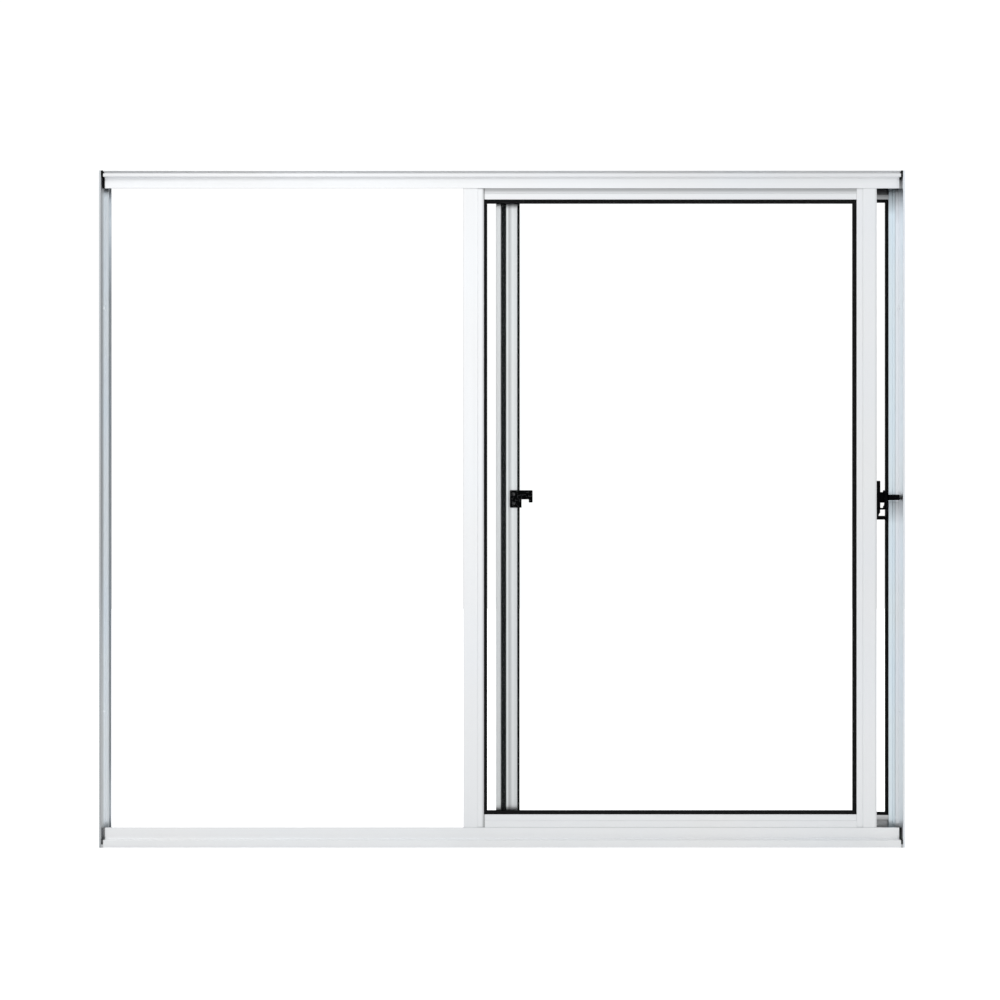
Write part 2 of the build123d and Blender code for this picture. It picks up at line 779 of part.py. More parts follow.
def main():
    os.makedirs("parts", exist_ok=True)
    save("head", head())
    save("sill", sill())
    for side, label in ((-1, "left"), (1, "right")):
        save(label + "_jamb", jamb(side))
        save("head_" + label + "_seal", seal(side, True))
        save("sill_" + label + "_seal", seal(side, False))

    save("sliding_pull_stile", sliding.stile(sliding.stile_section(pull_stile), True))
    save("sliding_meeting_stile", sliding_meeting_stile_part())
    save("fixed_meeting_stile", fixed_meeting_stile_part())
    save("fixed_jamb_stile", fixed.stile(fixed.stile_section(fixed_jamb_stile), False))
    for label, leaf in (("sliding", sliding), ("fixed", fixed)):
        save(label + "_top_rail", leaf.rail(True))
        save(label + "_bottom_rail", leaf.rail(False))
        save(label + "_glass", leaf.pane())
        for side in ("left", "right", "bottom", "top"):
            save(label + "_gasket_" + side, leaf.gasket(side))
    save("meeting_pile", meeting_pile())
    block_places = (
        fixed_left + fixed_meeting_stile + block_inset,
        fixed_right - fixed_jamb_stile - block_inset,
    )
    save("fixed_setting_blocks", together([fixed_block(x) for x in block_places]))

    save("roller_wheels", together([roller_wheel(x) for x in roller_places()]))
    save("roller_housings", together([roller_housing(x) for x in roller_places()]))
    save("roller_axles", together([roller_axle(x) for x in roller_places()]))
    save("top_guides", together([top_guide(x) for x in roller_places()]))

    save("latch_body", latch_body())
    save("latch_cam", latch_cam())
    save("latch_lever", latch_lever())
    save("keeper", keeper())


main()
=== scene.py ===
"""Two-leaf aluminium window on a pale studio floor.

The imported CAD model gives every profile, pane, gasket and casting. This script finishes each of them, adds
the screws, and sets up the studio and the camera. Lengths are metres in the model's own frame, apart from
zones and the places of shades along a profile, which are millimetres.
"""

import logging
import math
from collections.abc import Iterable, Mapping
from dataclasses import dataclass
from enum import Enum

import bmesh
import bpy
from mathutils import Matrix, Vector


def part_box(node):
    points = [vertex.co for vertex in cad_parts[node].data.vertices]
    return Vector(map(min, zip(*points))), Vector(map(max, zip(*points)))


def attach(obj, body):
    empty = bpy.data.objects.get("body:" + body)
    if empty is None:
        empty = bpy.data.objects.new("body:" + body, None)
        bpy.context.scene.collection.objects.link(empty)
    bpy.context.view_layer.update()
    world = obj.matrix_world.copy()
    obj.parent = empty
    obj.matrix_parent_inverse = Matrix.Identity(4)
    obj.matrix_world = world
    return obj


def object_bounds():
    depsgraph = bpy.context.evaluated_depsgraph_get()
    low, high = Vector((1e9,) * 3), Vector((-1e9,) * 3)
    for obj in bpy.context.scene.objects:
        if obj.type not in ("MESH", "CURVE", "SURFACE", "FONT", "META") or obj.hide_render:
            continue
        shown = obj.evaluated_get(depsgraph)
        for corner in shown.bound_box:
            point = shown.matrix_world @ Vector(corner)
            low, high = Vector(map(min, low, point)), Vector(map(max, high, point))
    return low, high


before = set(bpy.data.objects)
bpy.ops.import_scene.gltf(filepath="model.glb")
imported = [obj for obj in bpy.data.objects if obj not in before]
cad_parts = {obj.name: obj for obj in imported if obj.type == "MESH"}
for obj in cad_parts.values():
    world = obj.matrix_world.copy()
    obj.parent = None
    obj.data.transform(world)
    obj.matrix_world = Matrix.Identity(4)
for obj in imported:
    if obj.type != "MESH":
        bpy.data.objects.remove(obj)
cad_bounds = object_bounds()

log = logging.getLogger("window")

Triple = tuple[float, float, float]
Colour = Triple
Tone = Colour | bpy.types.NodeSocket
Stops = tuple[tuple[float, float], ...]

MM = 0.001
MIDDLE = 0.5  # of a noise that runs from 0 to 1
SMOOTH_BELOW = math.radians(35)

# Sockets of the Mix node when it blends colours
MIX_FACTOR, MIX_FIRST, MIX_SECOND, MIX_RESULT = 0, 6, 7, 2


class Axis(Enum):
    """Axis of the model's frame: X to the right, Y to the back and Z up."""

    X = "X"
    Y = "Y"
    Z = "Z"


class Grain(Enum):
    """The way a profile left its die, which its fine lines follow."""

    ALONG_X = (1.0, 420.0, 420.0)
    ALONG_Z = (420.0, 420.0, 1.0)


class Way(Enum):
    """The way a screw points, from its head to its tip."""

    RIGHT = (1, 0, 0)
    LEFT = (-1, 0, 0)
    BACK = (0, 1, 0)


class Zone(Enum):
    """Stretch of an axis that holds some faces of a profile, as the axis and its ends in millimetres."""

    FRAME_FRONT = (Axis.Y, -27.0, -12.9)
    SLIDING_LEAF_FRONT = (Axis.Y, -13.0, -5.0)
    FIXED_LEAF_FRONT = (Axis.Y, 0.0, 15.0)
    MIDDLE_FIN = (Axis.Y, 4.2, 10.0)
    REAR_FIN = (Axis.Y, 24.8, 25.6)
    LEFT_WEB = (Axis.X, -592.6, -580.0)
    INSIDE_LEFT_JAMB = (Axis.X, -592.6, -500.0)
    INSIDE_RIGHT_JAMB = (Axis.X, 500.0, 592.6)
    HEAD_LEDGE = (Axis.Z, 970.0, 989.5)
    HEAD_LIP = (Axis.Z, 990.8, 1001.0)


Seat = tuple[Vector, Way]


def rgba(colour: Colour) -> tuple[float, float, float, float]:
    """Add full alpha to a colour."""
    return (*colour, 1.0)


def scaled(colour: Colour, factor: float) -> Colour:
    """Lighten or darken a colour.

    Args:
        colour: Linear red, green and blue.
        factor: What each of them is multiplied by.

    Returns:
        The new colour.
    """
    red, green, blue = colour
    return (red * factor, green * factor, blue * factor)


# Shader building


class Value:
    """A socket that carries a number through sums written in Python."""

    def __init__(self, graph: "Graph", socket: bpy.types.NodeSocket) -> None:
        """Wrap an output socket of the graph."""
        self.graph = graph
        self.socket = socket

    def _maths(self, operation: str, first: "Value | float", second: "Value | float") -> "Value":
        """Add one Math node.

        Args:
            operation: The node's operation, such as MULTIPLY.
            first: Its first number or value.
            second: Its second number or value.

        Returns:
            The result.
        """
        node = self.graph.node("ShaderNodeMath", {"operation": operation}, {0: first, 1: second})
        return Value(self.graph, node.outputs[0])

    def __add__(self, other: "Value | float") -> "Value":
        """Sum."""
        return self._maths("ADD", self, other)

    def __radd__(self, other: float) -> "Value":
        """Sum with a number in front."""
        return self._maths("ADD", other, self)

    def __sub__(self, other: "Value | float") -> "Value":
        """Difference."""
        return self._maths("SUBTRACT", self, other)

    def __rsub__(self, other: float) -> "Value":
        """Difference from a number."""
        return self._maths("SUBTRACT", other, self)

    def __mul__(self, other: "Value | float") -> "Value":
        """Product."""
        return self._maths("MULTIPLY", self, other)

    def __rmul__(self, other: float) -> "Value":
        """Product with a number in front."""
        return self._maths("MULTIPLY", other, self)

    def __gt__(self, other: "Value | float") -> "Value":
        """1 where this value is the greater, otherwise 0."""
        return self._maths("GREATER_THAN", self, other)

    def __lt__(self, other: "Value | float") -> "Value":
        """1 where this value is the smaller, otherwise 0."""
        return self._maths("LESS_THAN", self, other)

    def __pow__(self, power: float) -> "Value":
        """Power, where a negative value counts as 0."""
        return self._maths("POWER", self._maths("MAXIMUM", self, 0.0), power)


def varied(level: Value | float, noise: Value, spread: float) -> Value:
    """Move a level up and down with a noise.

    Args:
        level: What the noise is added to.
        noise: Noise from 0 to 1.
        spread: The distance between the lowest and the highest result.

    Returns:
        The varied level.
    """
    return level + spread * (noise - MIDDLE)


class Graph:
    """The node tree of a material or of the world."""

    def __init__(self, tree: bpy.types.NodeTree) -> None:
        """Start from an empty tree."""
        self.tree = tree
        tree.nodes.clear()

    def node(
        self,
        kind: str,
        settings: Mapping[str, object] | None = None,
        inputs: Mapping[str | int, object] | None = None,
    ) -> bpy.types.Node:
        """Add a node.

        Args:
            kind: The node's type.
            settings: Its properties, set first. "stops" fills a colour ramp with (place, colour) pairs.
            inputs: A number, colour, socket or Value for each named or numbered input.

        Returns:
            The new node.
        """
        node = self.tree.nodes.new(kind)
        for name, setting in (settings or {}).items():
            if name == "stops":
                self._fill_ramp(node.color_ramp, setting)
            else:
                setattr(node, name, setting)
        for key, given in (inputs or {}).items():
            source = given.socket if isinstance(given, Value) else given
            if isinstance(source, bpy.types.NodeSocket):
                self.tree.links.new(source, node.inputs[key])
            else:
                node.inputs[key].default_value = source
        return node

    @staticmethod
    def _fill_ramp(ramp: bpy.types.ColorRamp, stops: Iterable[tuple[float, Colour]]) -> None:
        """Replace a ramp's stops.

        Args:
            ramp: The ramp of a Color Ramp node.
            stops: Places from 0 to 1, each with its colour.
        """
        while len(ramp.elements) > 1:
            ramp.elements.remove(ramp.elements[-1])
        for index, (place, colour) in enumerate(stops):
            element = ramp.elements[0] if index == 0 else ramp.elements.new(place)
            element.position = place
            element.color = rgba(colour)

    def value(self, socket: bpy.types.NodeSocket) -> Value:
        """Wrap a socket for sums."""
        return Value(self, socket)

    def place(self) -> bpy.types.NodeSocket:
        """Position on the piece, in metres of the model's frame."""
        return self.node("ShaderNodeTexCoord").outputs["Object"]

    def seen(self) -> Value:
        """1 for what the camera sees, straight or through the glass, otherwise 0."""
        rays = self.node("ShaderNodeLightPath").outputs
        return self.value(rays["Is Camera Ray"]) + self.value(rays["Is Transmission Ray"])

    def noise(self, scale: float, detail: float = 2.0, stretch: Triple = (1, 1, 1)) -> Value:
        """Soft noise over the piece.

        Args:
            scale: Waves to the metre.
            detail: Octaves.
            stretch: Factors on X, Y and Z, where a small one draws the noise out.

        Returns:
            Noise from 0 to 1.
        """
        mapping = self.node("ShaderNodeMapping", inputs={"Vector": self.place(), "Scale": stretch})
        noise = self.node(
            "ShaderNodeTexNoise",
            inputs={"Vector": mapping.outputs[0], "Scale": scale, "Detail": detail},
        )
        return self.value(noise.outputs[0])

    def openness(self, distance: float, samples: int = 12) -> Value:
        """How open the surface is to its surroundings, from 0 in a deep corner to 1.

        Args:
            distance: How far off a neighbour still counts, in metres.
            samples: Rays that look for neighbours.

        Returns:
            The openness.
        """
        node = self.node("ShaderNodeAmbientOcclusion", {"samples": samples}, {"Distance": distance})
        return self.value(node.outputs["AO"])

    def mix(self, factor: Value, low: Tone, high: Tone) -> bpy.types.NodeSocket:
        """Blend two colours.

        Args:
            factor: 0 or less for the first colour, 1 or more for the second.
            low: First colour.
            high: Second colour.

        Returns:
            The blend's socket.
        """
        first, second = (rgba(end) if isinstance(end, tuple) else end for end in (low, high))
        node = self.node(
            "ShaderNodeMix",
            {"data_type": "RGBA", "clamp_factor": True},
            {MIX_FACTOR: factor, MIX_FIRST: first, MIX_SECOND: second},
        )
        return node.outputs[MIX_RESULT]

    def bump(self, height: Value, strength: float, distance: float) -> bpy.types.NodeSocket:
        """Turn a height into a normal.

        Args:
            height: Height from 0 to 1.
            strength: Share of the effect.
            distance: Depth that a height of 1 stands for, in metres.

        Returns:
            The normal's socket.
        """
        node = self.node(
            "ShaderNodeBump",
            inputs={"Height": height, "Strength": strength, "Distance": distance},
        )
        return node.outputs[0]

    def principled(self, inputs: Mapping[str | int, object]) -> bpy.types.NodeSocket:
        """Add the surface shader and return its output."""
        return self.node("ShaderNodeBsdfPrincipled", inputs=inputs).outputs[0]


@dataclass(frozen=True)
class Gradient:
    """Share from 0 to 1 that changes along an axis, used to paint light and shade into a colour, such as the
    light that gets into a corner.

    Each stop is a place on the axis, in millimetres, and the share there. A point that is outside any of
    the zones has a fixed share.
    """

    axis: Axis
    stops: Stops
    zones: tuple[Zone, ...] = ()
    outside: float = 1.0

    def share(self, graph: Graph) -> Value:
        """Build the share in a material.

        Args:
            graph: The material's graph.

        Returns:
            The share.
        """
        axes = graph.node("ShaderNodeSeparateXYZ", inputs={0: graph.place()}).outputs
        start, end = self.stops[0][0], self.stops[-1][0]
        along = (graph.value(axes[self.axis.value]) - start * MM) * (1.0 / ((end - start) * MM))
        stops = [((place - start) / (end - start), (share, share, share)) for place, share in self.stops]
        ramp = graph.value(graph.node("ShaderNodeValToRGB", {"stops": stops}, {0: along}).outputs[0])
        if not self.zones:
            return ramp
        inside: Value | float = 1.0
        for zone in self.zones:
            axis, low, high = zone.value
            place = graph.value(axes[axis.value])
            inside = inside * ((place > low * MM) * (place < high * MM))
        return inside * ramp + (1.0 - inside) * self.outside


# Finishes


@dataclass(frozen=True)
class Finish:
    """What a piece is made of. Each kind of finish says how its surface is built."""

    name: str

    def surface(self, graph: Graph) -> bpy.types.NodeSocket:
        """Build the surface in the graph and return its shader socket."""
        raise NotImplementedError

    def material(self) -> bpy.types.Material:
        """Make the material, once for each name.

        Returns:
            The material.
        """
        found = bpy.data.materials.get(self.name)
        if found is not None:
            return found
        material = bpy.data.materials.new(self.name)
        material.use_nodes = True
        graph = Graph(material.node_tree)
        graph.node("ShaderNodeOutputMaterial", inputs={"Surface": self.surface(graph)})
        return material

    def dress(self, piece: bpy.types.Object) -> None:
        """Put the finish on every slot of a piece.

        Args:
            piece: The piece.
        """
        if not piece.material_slots:
            piece.data.materials.append(None)
        for slot in piece.material_slots:
            slot.material = self.material()


@dataclass(frozen=True)
class AnodisedAluminium(Finish):
    """Satin silver anodising over a profile's fine die lines, with shade painted into its colour where steps
    and neighbours shade it and along its gradients.
    """

    grain: Grain
    # Gradients of light and shade painted into the colour across the profile
    shades: tuple[Gradient, ...] = ()
    cool: Colour = (0.9, 0.915, 0.935)
    plain: Colour = (0.92, 0.92, 0.92)
    roughness: float = 0.31
    line_scale: float = 2.2
    line_contrast: float = 0.02
    line_roughness: float = 0.1
    line_strength: float = 0.35
    line_depth: float = 0.01 * MM
    cloud_scale: float = 5.0
    cloud_contrast: float = 2.0
    cloud_roughness: float = 0.08
    # Painted shade in corners: how far off a neighbour still counts, the darkest colour as a share of the
    # plain one, and the strength and falloff of the darkening
    corner_reach: float = 10.5 * MM
    corner_shade: float = 0.03
    corner_gain: float = 1.2
    corner_falloff: float = 3.0

    def surface(self, graph: Graph) -> bpy.types.NodeSocket:
        """Die lines drawn along the profile, under slow changes of tone, with the shade of its corners and
        of its gradients painted into the colour.

        Args:
            graph: The material's graph.

        Returns:
            The shader's socket.
        """
        lines = graph.noise(self.line_scale, stretch=self.grain.value)
        clouds = graph.noise(self.cloud_scale)
        # Painted shade: the colour darkens in closed corners and along each gradient of shade
        painted_corner_shade = (1.0 - graph.openness(self.corner_reach)) ** self.corner_falloff
        lit = 1.0 - self.corner_gain * painted_corner_shade - self.line_contrast * lines
        for shade in self.shades:
            lit = lit * shade.share(graph)
        tone = graph.mix(varied(MIDDLE, clouds, self.cloud_contrast), self.cool, self.plain)
        roughness = varied(self.roughness, lines, self.line_roughness)
        return graph.principled(
            {
                "Base Color": graph.mix(lit, scaled(self.plain, self.corner_shade), tone),
                "Metallic": 1.0,
                "Roughness": varied(roughness, clouds, self.cloud_roughness),
                "Normal": graph.bump(lines, self.line_strength, self.line_depth),
            }
        )


@dataclass(frozen=True)
class BlackRubber(Finish):
    """Black vinyl or rubber with a faint bloom, with painted light as a pale colour where a gradient asks
    for it.
    """

    colour: Colour = (0.0025, 0.0026, 0.0028)
    bloom: Colour = (0.006, 0.0062, 0.0066)
    # Pale colour of the painted light
    pale: Colour = (0.75, 0.76, 0.77)
    painted_light: Gradient | None = None
    roughness: float = 0.62
    specular: float = 0.12
    patch_scale: float = 30.0
    patch_roughness: float = 0.18
    pore_scale: float = 900.0
    pore_strength: float = 0.3
    pore_depth: float = 0.06 * MM

    def surface(self, graph: Graph) -> bpy.types.NodeSocket:
        """Bloom in soft patches over a fine skin.

        Args:
            graph: The material's graph.

        Returns:
            The shader's socket.
        """
        patches = graph.noise(self.patch_scale, detail=3.0)
        skin = graph.noise(self.pore_scale, detail=1.0)
        tone = graph.mix(patches, self.colour, self.bloom)
        # Painted light: the pale colour stands in for light that falls on the rubber
        if self.painted_light is not None:
            tone = graph.mix(self.painted_light.share(graph), tone, self.pale)
        return graph.principled(
            {
                "Base Color": tone,
                "Roughness": varied(self.roughness, patches, self.patch_roughness),
                "Specular IOR Level": self.specular,
                "Normal": graph.bump(skin, self.pore_strength, self.pore_depth),
            }
        )


@dataclass(frozen=True)
class FloatGlass(Finish):
    """Clear float glass that mirrors only at a slant."""

    tint: Colour = (0.996, 1.0, 0.998)
    mirror: Colour = (0.95, 0.97, 0.97)
    least_mirror: float = 0.002
    slant_mirror: float = 0.6
    slant_falloff: float = 4.0
    roughness: float = 0.03
    smear_scale: float = 9.0
    smear_roughness: float = 0.04

    def surface(self, graph: Graph) -> bpy.types.NodeSocket:
        """Clear pane under a mirror that grows with the slant.

        Args:
            graph: The material's graph.

        Returns:
            The shader's socket.
        """
        smears = graph.noise(self.smear_scale)
        clear = graph.node("ShaderNodeBsdfTransparent", inputs={"Color": rgba(self.tint)}).outputs[0]
        gloss = graph.principled(
            {
                "Base Color": rgba(self.mirror),
                "Metallic": 1.0,
                "Roughness": varied(self.roughness, smears, self.smear_roughness),
            }
        )
        slant = graph.value(graph.node("ShaderNodeLayerWeight").outputs["Facing"])
        share = self.least_mirror + self.slant_mirror * slant**self.slant_falloff
        return graph.node("ShaderNodeMixShader", inputs={0: share, 1: clear, 2: gloss}).outputs[0]


@dataclass(frozen=True)
class BlackPowderCoat(Finish):
    """Satin black powder coat on a casting."""

    colour: Colour = (0.0006, 0.0007, 0.0009)
    worn: Colour = (0.0016, 0.0018, 0.0022)
    roughness: float = 0.5
    specular: float = 0.025
    rubbed_scale: float = 60.0
    rubbed_roughness: float = 0.16
    peel_scale: float = 700.0
    peel_strength: float = 0.35
    peel_depth: float = 0.08 * MM

    def surface(self, graph: Graph) -> bpy.types.NodeSocket:
        """Orange peel with slightly rubbed patches.

        Args:
            graph: The material's graph.

        Returns:
            The shader's socket.
        """
        peel = graph.noise(self.peel_scale, detail=1.0)
        rubbed = graph.noise(self.rubbed_scale, detail=3.0)
        return graph.principled(
            {
                "Base Color": graph.mix(rubbed, self.colour, self.worn),
                "Roughness": varied(self.roughness, rubbed, self.rubbed_roughness),
                "Specular IOR Level": self.specular,
                "Normal": graph.bump(peel, self.peel_strength, self.peel_depth),
            }
        )


@dataclass(frozen=True)
class MouldedNylon(Finish):
    """Dark moulded nylon of the running gear."""

    colour: Colour = (0.035, 0.035, 0.037)
    darkest: float = 0.8
    palest: float = 1.25
    roughness: float = 0.48
    flow_scale: float = 45.0
    flow_roughness: float = 0.12

    def surface(self, graph: Graph) -> bpy.types.NodeSocket:
        """Even plastic with a slight flow pattern.

        Args:
            graph: The material's graph.

        Returns:
            The shader's socket.
        """
        flow = graph.noise(self.flow_scale)
        dark, pale = scaled(self.colour, self.darkest), scaled(self.colour, self.palest)
        return graph.principled(
            {
                "Base Color": graph.mix(flow, dark, pale),
                "Roughness": varied(self.roughness, flow, self.flow_roughness),
            }
        )


@dataclass(frozen=True)
class PlatedSteel(Finish):
    """Plated or blackened steel of screws and axles."""

    colour: Colour = (0.6, 0.6, 0.59)
    darkest: float = 0.82
    palest: float = 1.08
    roughness: float = 0.3
    stain_scale: float = 240.0
    stain_roughness: float = 0.2

    def surface(self, graph: Graph) -> bpy.types.NodeSocket:
        """Plating with faint stains.

        Args:
            graph: The material's graph.

        Returns:
            The shader's socket.
        """
        stains = graph.noise(self.stain_scale, detail=3.0)
        dark, pale = scaled(self.colour, self.darkest), scaled(self.colour, self.palest)
        return graph.principled(
            {
                "Base Color": graph.mix(stains, dark, pale),
                "Metallic": 1.0,
                "Roughness": varied(self.roughness, stains, self.stain_roughness),
            }
        )


@dataclass(frozen=True)
class WovenPile(Finish):
    """Black woven pile of the brush seal."""

    colour: Colour = (0.011, 0.012, 0.0125)
    darkest: float = 0.6
    palest: float = 2.2
    roughness: float = 0.85
    specular: float = 0.1
    fibres_to_the_metre: Triple = (1500.0, 60.0, 1500.0)
    fibre_roughness: float = 0.1
    fibre_strength: float = 0.6
    fibre_depth: float = 0.4 * MM

    def surface(self, graph: Graph) -> bpy.types.NodeSocket:
        """Short fibres that stand across the strip.

        Args:
            graph: The material's graph.

        Returns:
            The shader's socket.
        """
        fibres = graph.noise(1.0, stretch=self.fibres_to_the_metre)
        dark, pale = scaled(self.colour, self.darkest), scaled(self.colour, self.palest)
        return graph.principled(
            {
                "Base Color": graph.mix(fibres, dark, pale),
                "Roughness": varied(self.roughness, fibres, self.fibre_roughness),
                "Specular IOR Level": self.specular,
                "Normal": graph.bump(fibres, self.fibre_strength, self.fibre_depth),
            }
        )


# Screws


def linked(made: bpy.types.Object) -> bpy.types.Object:
    """Link an object to the scene and return it."""
    bpy.context.scene.collection.objects.link(made)
    return made


def box_object(name: str, half_size: Vector) -> bpy.types.Object:
    """Make a box about the origin.

    Args:
        name: The object's name.
        half_size: Half of its length on each axis.

    Returns:
        The object, linked to the scene.
    """
    made = bmesh.new()
    bmesh.ops.create_cube(made, size=2.0)
    bmesh.ops.scale(made, vec=half_size, verts=made.verts)
    mesh = bpy.data.meshes.new(name)
    made.to_mesh(mesh)
    made.free()
    return linked(bpy.data.objects.new(name, mesh))


@dataclass(frozen=True)
class PanScrew:
    """Pan-head screw with a cross recess, its seat at the origin and its shank along +Z.

    The rim is a share of the head's height, the tip a share of the shank's radius, the recess's arm and half
    width are shares of the head's radius, and its depth is a share of the head's height.
    """

    head_radius: float = 3.0 * MM
    head_height: float = 1.1 * MM
    shank_radius: float = 1.7 * MM
    length: float = 16.0 * MM
    rim: float = 0.35
    tip: float = 0.2
    recess_arm: float = 0.6
    recess_half_width: float = 0.13
    recess_depth: float = 0.6
    dome_angles: tuple[float, ...] = (18, 36, 54, 72, 90)
    sides: int = 24

    def outline(self) -> list[tuple[float, float]]:
        """Draw half of the section.

        Returns:
            Its corners as (radius, height), from the top of the head to the tip.
        """
        rise = 1 - self.rim
        dome = [
            (self.head_radius * math.sin(angle), -self.head_height * (self.rim + rise * math.cos(angle)))
            for angle in map(math.radians, self.dome_angles)
        ]
        return [
            *dome,
            (self.head_radius, 0.0),
            (self.shank_radius, 0.0),
            (self.shank_radius, self.length - 2 * self.shank_radius),
            (self.tip * self.shank_radius, self.length),
        ]

    def mesh(self, name: str) -> bpy.types.Mesh:
        """Turn the outline about Z and sink the cross recess.

        Args:
            name: The mesh's name.

        Returns:
            The mesh.
        """
        made = bmesh.new()
        rings = []
        for radius, height in self.outline():
            ring = []
            for side in range(self.sides):
                angle = 2 * math.pi * side / self.sides
                ring.append(made.verts.new((radius * math.cos(angle), radius * math.sin(angle), height)))
            rings.append(ring)
        for ring, following in zip(rings, rings[1:]):
            for side in range(self.sides):
                after = (side + 1) % self.sides
                made.faces.new((ring[side], ring[after], following[after], following[side]))
        made.faces.new(list(reversed(rings[0])))
        made.faces.new(rings[-1])
        bmesh.ops.recalc_face_normals(made, faces=made.faces)
        body = bpy.data.meshes.new(name)
        made.to_mesh(body)
        made.free()
        return self._recessed(name, body)

    def _recessed(self, name: str, body: bpy.types.Mesh) -> bpy.types.Mesh:
        """Cut a cross into the top of the head.

        Args:
            name: The name of the mesh that comes back.
            body: The screw without its recess.

        Returns:
            The finished mesh.
        """
        screw = linked(bpy.data.objects.new(name + "_blank", body))
        arm = self.head_radius * self.recess_arm
        half_width = self.head_radius * self.recess_half_width
        tools = []
        for reach in ((arm, half_width), (half_width, arm)):
            cutter = box_object(name + "_cutter", Vector((*reach, self.head_height * self.recess_depth)))
            cutter.location.z = -self.head_height
            tools.append(cutter)
            cut = screw.modifiers.new("recess", "BOOLEAN")
            cut.object = cutter
            cut.solver = "EXACT"
        bpy.context.view_layer.update()
        shown = screw.evaluated_get(bpy.context.evaluated_depsgraph_get())
        finished = bpy.data.meshes.new_from_object(shown)
        for used in (screw, *tools):
            bpy.data.objects.remove(used)
        return finished


def screw_set(
    name: str, screw: PanScrew, seats: Iterable[Seat], finish: Finish
) -> bpy.types.Object:
    """Make one piece from like screws.

    Args:
        name: The piece's name.
        screw: The kind of screw.
        seats: Where each head sits, and the way its shank points.
        finish: What the screws are made of.

    Returns:
        The piece, riding on the window.
    """
    pattern = screw.mesh(name + "_pattern")
    joined = bmesh.new()
    for seat, way in seats:
        turn = Vector((0, 0, 1)).rotation_difference(Vector(way.value)).to_matrix().to_4x4()
        one = pattern.copy()
        one.transform(Matrix.Translation(seat) @ turn)
        joined.from_mesh(one)
        bpy.data.meshes.remove(one)
    bpy.data.meshes.remove(pattern)
    mesh = bpy.data.meshes.new(name)
    joined.to_mesh(mesh)
    joined.free()
    mesh.shade_smooth()
    mesh.set_sharp_from_angle(angle=SMOOTH_BELOW)
    piece = linked(bpy.data.objects.new(name, mesh))
    finish.dress(piece)
    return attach(piece, "root")


# Sub-assemblies


class SubAssembly:
    """Part of the window that dresses its CAD nodes and adds its small pieces."""

    def dress(self) -> list[bpy.types.Object]:
        """Finish the nodes, add pieces, and return all of them."""
        raise NotImplementedError

    @staticmethod
    def finish_nodes(finishes: Mapping[str, Finish]) -> list[bpy.types.Object]:
        """Put a finish on each named CAD node.

        Args:
            finishes: The finish of each node, by the node's name.

        Returns:
            The nodes' objects.
        """
        dressed = []
        for name, finish in finishes.items():
            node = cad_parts[name]
            finish.dress(node)
            dressed.append(node)
        return dressed


@dataclass
class OuterFrame(SubAssembly):
    """Head, sill and jambs with their corner pads and screws."""

    finishes: Mapping[str, Finish]
    steel: PlatedSteel
    web_inset: float = 1.5 * MM
    port_height: float = 3.3 * MM
    front_port: float = 6.0 * MM
    rear_port: float = 41.8 * MM

    def screw_seats(self) -> list[Seat]:
        """Find where the eight corner screws sit, on the outsides of the jambs' webs.

        Returns:
            Their seats.
        """
        low, high = cad_bounds
        seats = []
        for side, way in ((low[0] + self.web_inset, Way.RIGHT), (high[0] - self.web_inset, Way.LEFT)):
            for depth in (self.front_port, self.rear_port):
                for level in (low[2] + self.port_height, high[2] - self.port_height):
                    seats.append((Vector((side, low[1] + depth, level)), way))
        return seats

    def dress(self) -> list[bpy.types.Object]:
        """Finish the four profiles and four pads, and add the corner screws.

        Returns:
            The frame's pieces.
        """
        nodes = self.finish_nodes(self.finishes)
        screws = screw_set(
            "frame_corner_screws", PanScrew(), self.screw_seats(), self.steel
        )
        return [*nodes, screws]


@dataclass
class Leaf(SubAssembly):
    """A glazed leaf: two rails, two stiles, a pane, its gasket and the screws that hold the corners."""

    label: str
    stiles: Mapping[str, AnodisedAluminium]
    top_rail: AnodisedAluminium
    bottom_rail: AnodisedAluminium
    gasket: BlackRubber
    glass: FloatGlass
    steel: PlatedSteel
    glazing_leg: float
    port_depth: float
    web_behind_glass: float = 2.85 * MM
    port_inset: float = 3.2 * MM
    screw: PanScrew = PanScrew(head_radius=2.8 * MM, shank_radius=1.6 * MM)

    def screw_seats(self) -> list[Seat]:
        """Find where the four screws sit inside the stiles, in line with the rails' ports.

        Returns:
            Their seats.
        """
        bottom_low, bottom_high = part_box(f"{self.label}_bottom_rail")
        top_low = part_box(f"{self.label}_top_rail")[0]
        glass_low, glass_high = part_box(f"{self.label}_glass")
        depth = bottom_low.y + self.port_depth
        left = glass_low.x - self.web_behind_glass
        right = glass_high.x + self.web_behind_glass
        heights = (
            bottom_high.z - self.glazing_leg - self.port_inset,
            top_low.z + self.glazing_leg + self.port_inset,
        )
        seats = []
        for level in heights:
            seats.append((Vector((left, depth, level)), Way.RIGHT))
            seats.append((Vector((right, depth, level)), Way.LEFT))
        return seats

    def dress(self) -> list[bpy.types.Object]:
        """Finish the leaf's members, pane and gasket lengths, and add the screws.

        Returns:
            The leaf's pieces.
        """
        finishes: dict[str, Finish] = {
            f"{self.label}_top_rail": self.top_rail,
            f"{self.label}_bottom_rail": self.bottom_rail,
            f"{self.label}_glass": self.glass,
        }
        for stile, finish in self.stiles.items():
            finishes[f"{self.label}_{stile}"] = finish
        for side in ("left", "right", "top", "bottom"):
            finishes[f"{self.label}_gasket_{side}"] = self.gasket
        nodes = self.finish_nodes(finishes)
        screws = screw_set(
            f"{self.label}_leaf_screws", self.screw, self.screw_seats(), self.steel
        )
        return [*nodes, screws]


